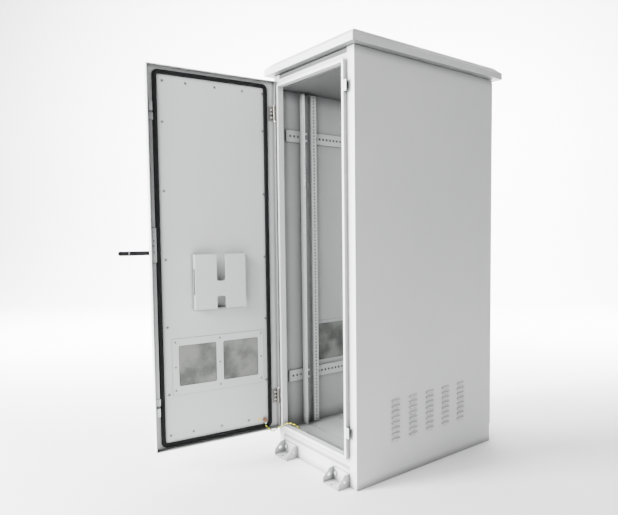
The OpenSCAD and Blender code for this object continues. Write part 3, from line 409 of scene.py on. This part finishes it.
# Length of a ring of faces, length of one turn of the stripe, sides of the tube, sides that are green
LEAD_STEP, LEAD_TURN, LEAD_SIDES, GREEN_SIDES = 0.0016, 0.018, 16, 8
LEAD_RADIUS = 0.00245
fine = catmull(lead_points, 40)
lead_path, left = [fine[0]], LEAD_STEP
for a, b in zip(fine, fine[1:]):
    left -= (b - a).length
    if left < 0:
        lead_path.append(b)
        left += LEAD_STEP
lead_path[-1] = fine[-1]
verts, faces = tube(lead_path, LEAD_RADIUS, LEAD_SIDES, Vector((0, 0, -1)), Vector((0, 1, 0)))
index = []
for i in range(len(lead_path) - 1):
    turned = i * LEAD_STEP / LEAD_TURN * LEAD_SIDES
    index += [0 if (k + turned) % LEAD_SIDES < GREEN_SIDES else 1 for k in range(LEAD_SIDES)]
lead = piece("earth_lead_cord", None, [(verts, faces, index + [0, 0])], [GREEN, YELLOW],
             sharp=50)
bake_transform(lead)
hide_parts("earth_lead")

# ------------------------------------------------------------------ screws on the door
for name, node, radius in (("liner_screws", "door_liner_screws", 0.0045),
                           ("filter_frame_screws", "door_filter_screws", 0.0035)):
    parts = []
    for g in islands(node):
        at, h = foot_of(g, INWARD)
        parts.append((*cross_screw(radius, h, placed(INWARD, at)), 0))
    piece(name, "door", parts, [SCREW], [node])

# ------------------------------------------------------------------ gasket: a foam strip with two ribs
# Half the width and the two heights of the strip's middle line, its corner, the face that it lies on
GX, GZ0, GZ1, CORNER, CORNER_STEPS, PANEL_Y = 0.2385, 0.124, 1.670, 0.015, 8, -0.4395
# (across, out) in mm, across the strip
profile = [(-8.5, 0), (-8.5, 5.2), (-7.6, 7.0), (-5.6, 8.4), (-3.2, 8.9), (-1.2, 7.9), (0, 7.5),
           (1.2, 7.9), (3.2, 8.9), (5.6, 8.4), (7.6, 7.0), (8.5, 5.2), (8.5, 0)]
verts, faces = [], []
mid_z = (GZ0 + GZ1) / 2
for cx, cz, a0 in ((1, 1, 0), (-1, 1, 90), (-1, -1, 180), (1, -1, 270)):
    for k in range(CORNER_STEPS + 1):
        a = math.radians(a0 + 90 * k / CORNER_STEPS)
        for u, h in profile:
            r = CORNER + u / 1000
            x = cx * (GX - CORNER) + r * math.cos(a)
            z = mid_z + cz * ((GZ1 - GZ0) / 2 - CORNER) + r * math.sin(a)
            verts.append(on_door(x, PANEL_Y + h / 1000, z))
n, m = 4 * (CORNER_STEPS + 1), len(profile)
for i in range(n):
    for k in range(m):
        j, l = (i + 1) % n, (k + 1) % m
        faces.append((i * m + k, j * m + k, j * m + l, i * m + l))
piece("gasket_strip", "door", [(verts, faces, 0)], [RUBBER], ["door_gasket"], sharp=60)

# ------------------------------------------------------------------ the plain yellow dot
DOT_AT = on_door(-0.187, PANEL_Y, 0.157)
parts = [(*lathe([(0.0062, 0), (0.0062, 0.0003), (0.0058, 0.0005)], 32, placed(INWARD, DOT_AT)), 0)]
piece("yellow_dot", "door", parts, [YELLOW])

# ------------------------------------------------------------------ nuts, studs and washers
def washer(r, h, mat):
    return lathe([(r, 0), (r, h)], 28, mat)


WASHER_H, NUT_H = 0.0009, 0.0042
parts = []
for g in islands("hinge_nuts"):
    at, h = foot_of(g, INWARD)
    tail = h - WASHER_H - NUT_H
    parts.append((*washer(0.0058, WASHER_H, placed(INWARD, at)), 0))
    parts.append((*hex_nut(0.0088, NUT_H, placed(INWARD, at + WASHER_H * INWARD)), 0))
    stud = [(0.003, 0), (0.003, tail - 0.0005), (0.0025, tail)]
    parts.append((*lathe(stud, 20, placed(INWARD, at + (WASHER_H + NUT_H) * INWARD)), 0))
piece("hinge_stud_nuts", "door", parts, [ZINC], ["hinge_nuts"])

parts = []
for g in islands("earth_stud_door"):
    at, h = foot_of(g, INWARD)
    stud = [(0.0031, 0), (0.0031, h - 0.0004), (0.0027, h)]
    parts.append((*lathe(stud, 20, placed(INWARD, at)), 0))
    parts.append((*hex_nut(0.0128, 0.010, placed(INWARD, at)), 0))
    parts.append((*hex_nut(0.0125, 0.0045, placed(INWARD, at + (h - 0.0075) * INWARD)), 0))
    parts.append((*washer(0.0072, 0.001, placed(INWARD, at + (h - 0.0085) * INWARD)), 0))
piece("door_earth_nut", "door", parts, [BRASS], ["earth_stud_door"])

Y, REAR_WASHER_H = Vector((0, 1, 0)), 0.0008
parts = []
for g in islands("rear_panel_screws"):
    at, h = foot_of(g, Y)
    parts.append((*washer(0.0064, REAR_WASHER_H, placed(Y, at)), 0))
    parts.append((*hex_nut(0.0108, h - REAR_WASHER_H, placed(Y, at + REAR_WASHER_H * Y)), 0))
piece("rear_screws", "cabinet", parts, [ZINC], ["rear_panel_screws"])

parts = []
GEARBOX_SCREW_ZS = (0.938, 0.964, 0.985)
at, h = foot_of(islands("lock_gearbox")[0], INWARD)
for z in GEARBOX_SCREW_ZS:
    face = Vector((at.x, at.y, z)) + h * INWARD
    parts.append((*cross_screw(0.0028, 0.0014, placed(INWARD, face)), 0))
piece("gearbox_screws", "door", parts, [SCREW])

# ------------------------------------------------------------------ grey ribbed seal beneath the roof, its near-black colour also a painted shade for the overhang's shadow
SEAL_X, SEAL_Z0, SEAL_Z1 = 0.2465, 1.7005, 1.7185
SEAL_BACK, SEAL_EDGE, SEAL_FACE, SEAL_GROOVE = -0.4048, -0.4100, -0.4108, -0.4099
GROOVES, GROOVE_PITCH, GROOVE_MOUTH, GROOVE_FLOOR = 3, 0.005, 0.0012, 0.0006
ribs = [(SEAL_BACK, SEAL_Z0), (SEAL_EDGE, SEAL_Z0), (SEAL_FACE, SEAL_Z0 + 0.001)]
for k in range(GROOVES):
    z = SEAL_Z0 + GROOVE_PITCH * (k + 1)
    ribs += [(SEAL_FACE, z - GROOVE_MOUTH), (SEAL_GROOVE, z - GROOVE_FLOOR),
             (SEAL_GROOVE, z + GROOVE_FLOOR), (SEAL_FACE, z + GROOVE_MOUTH)]
ribs += [(SEAL_FACE, SEAL_Z1 - 0.001), (SEAL_EDGE, SEAL_Z1), (SEAL_BACK, SEAL_Z1)]
verts = [Vector((x, y, z)) for x in (-SEAL_X, SEAL_X) for y, z in ribs]
n = len(ribs)
faces = [(k, (k + 1) % n, n + (k + 1) % n, n + k) for k in range(n)]
faces += [tuple(range(n)), tuple(range(2 * n - 1, n - 1, -1))]
piece("roof_seal_shade_strip", "cabinet", [(verts, faces, 0)], [SEAL_SHADE], sharp=20)

# ------------------------------------------------------------------ lever: the metal band
lever = islands("handle_lever")[0]
lo, hi = span(lever, ALONG)
flo, fhi = span([p for p in lever if p.dot(ALONG) > lo + 0.03], INWARD)
zlo, zhi = min(p.z for p in lever), max(p.z for p in lever)
# How far the band's middle is from the lever's end, half its width, how far it bites in, its wall
BAND_FROM_END, BAND_HALF, BAND_BITE, BAND_WALL = 0.040, 0.0035, 0.0002, 0.0006
centre = ALONG * (hi - BAND_FROM_END) + INWARD * ((flo + fhi) / 2) + Vector((0, 0, (zlo + zhi) / 2))


def ring_box(c, half_a, half_i, half_z, wall):
    """A square sleeve round the lever, open along ALONG."""
    verts = []
    for a in (-half_a, half_a):
        for s in (0, wall):
            for i, z in ((-1, -1), (1, -1), (1, 1), (-1, 1)):
                verts.append(c + ALONG * a + INWARD * i * (half_i + s)
                             + Vector((0, 0, z * (half_z + s))))
    faces = []
    for k in range(4):
        m = (k + 1) % 4
        faces += [(k, m, 8 + m, 8 + k), (4 + k, 12 + k, 12 + m, 4 + m),
                  (k, 4 + k, 4 + m, m), (8 + k, 8 + m, 12 + m, 12 + k)]
    return verts, faces


half_in, half_up = (fhi - flo) / 2 - BAND_BITE, (zhi - zlo) / 2 - BAND_BITE
parts = [(*ring_box(centre, BAND_HALF, half_in, half_up, BAND_WALL), 0)]
piece("lever_metal_band", "lever", parts, [BAND], sharp=20)

# ------------------------------------------------------------------ studio
# name, place, what it points at, side of the square, power
for name, at, target, side, power in (
        ("key", (-1.6, -4.6, 1.7), (0.1, -0.4, 0.7), 1.6, 1250),
        ("front", (0.22, -3.2, 2.2), (0.0, 0.0, 0.8), 1.2, 165),
        ("inside", (2.0, -3.4, 2.4), (0, -0.2, 0.8), 1.2, 66),
        ("louvre_light", (2.6, 1.6, 4.8), (0.3, 0, 0.6), 1.2, 30),
        ("backdrop_left", (-3.6, -0.9, 3.6), (-6.6, 3.0, 1.2), 3.0, 2600),
        ("backdrop_right", (0.2, 3.7, 3.6), (-4.1, 6.0, 1.2), 3.0, 2600)):
    light = bpy.data.lights.new(name, "AREA")
    light.shape, light.size, light.size_y, light.energy = "RECTANGLE", side, side, power
    lamp = bpy.data.objects.new(name, light)
    lamp.location = at
    lamp.rotation_euler = (Vector(target) - Vector(at)).to_track_quat("-Z", "Y").to_euler()
    bpy.context.scene.collection.objects.link(lamp)
WORLD_LIGHT = 0.15
world = bpy.data.worlds.new("world")
world.use_nodes = True
sky = world.node_tree.nodes["Background"]
sky.inputs["Color"].default_value, sky.inputs["Strength"].default_value = (1, 1, 1, 1), WORLD_LIGHT
bpy.context.scene.world = world

# The floor runs back to a rounded corner and up, square to the camera: (distance, height) pairs
SWEEP_START, SWEEP_TURN, SWEEP_RADIUS, SWEEP_TOP, SWEEP_HALF = -9.0, 5.0, 2.5, 9.0, 14
quarter = [math.pi / 2 * k / 16 for k in range(17)]
sweep = [(SWEEP_START, 0.0)]
sweep += [(SWEEP_TURN + SWEEP_RADIUS * math.sin(a), SWEEP_RADIUS - SWEEP_RADIUS * math.cos(a))
          for a in quarter]
sweep += [(SWEEP_TURN + SWEEP_RADIUS, SWEEP_TOP)]
look, wide = Vector((-0.766, 0.643, 0)), Vector((0.643, 0.766, 0))
me = bpy.data.meshes.new("floor")
verts = [look * d + wide * w + Vector((0, 0, h)) for d, h in sweep for w in (-SWEEP_HALF, SWEEP_HALF)]
me.from_pydata(verts, [], [(2 * i, 2 * i + 1, 2 * i + 3, 2 * i + 2) for i in range(len(sweep) - 1)])
me.shade_smooth()
floor = bpy.data.objects.new("floor", me)
floor.location.z = -0.0005
me.materials.append(material("floor_pale", (0.9, 0.9, 0.9), 0.8))
bpy.context.scene.collection.objects.link(floor)
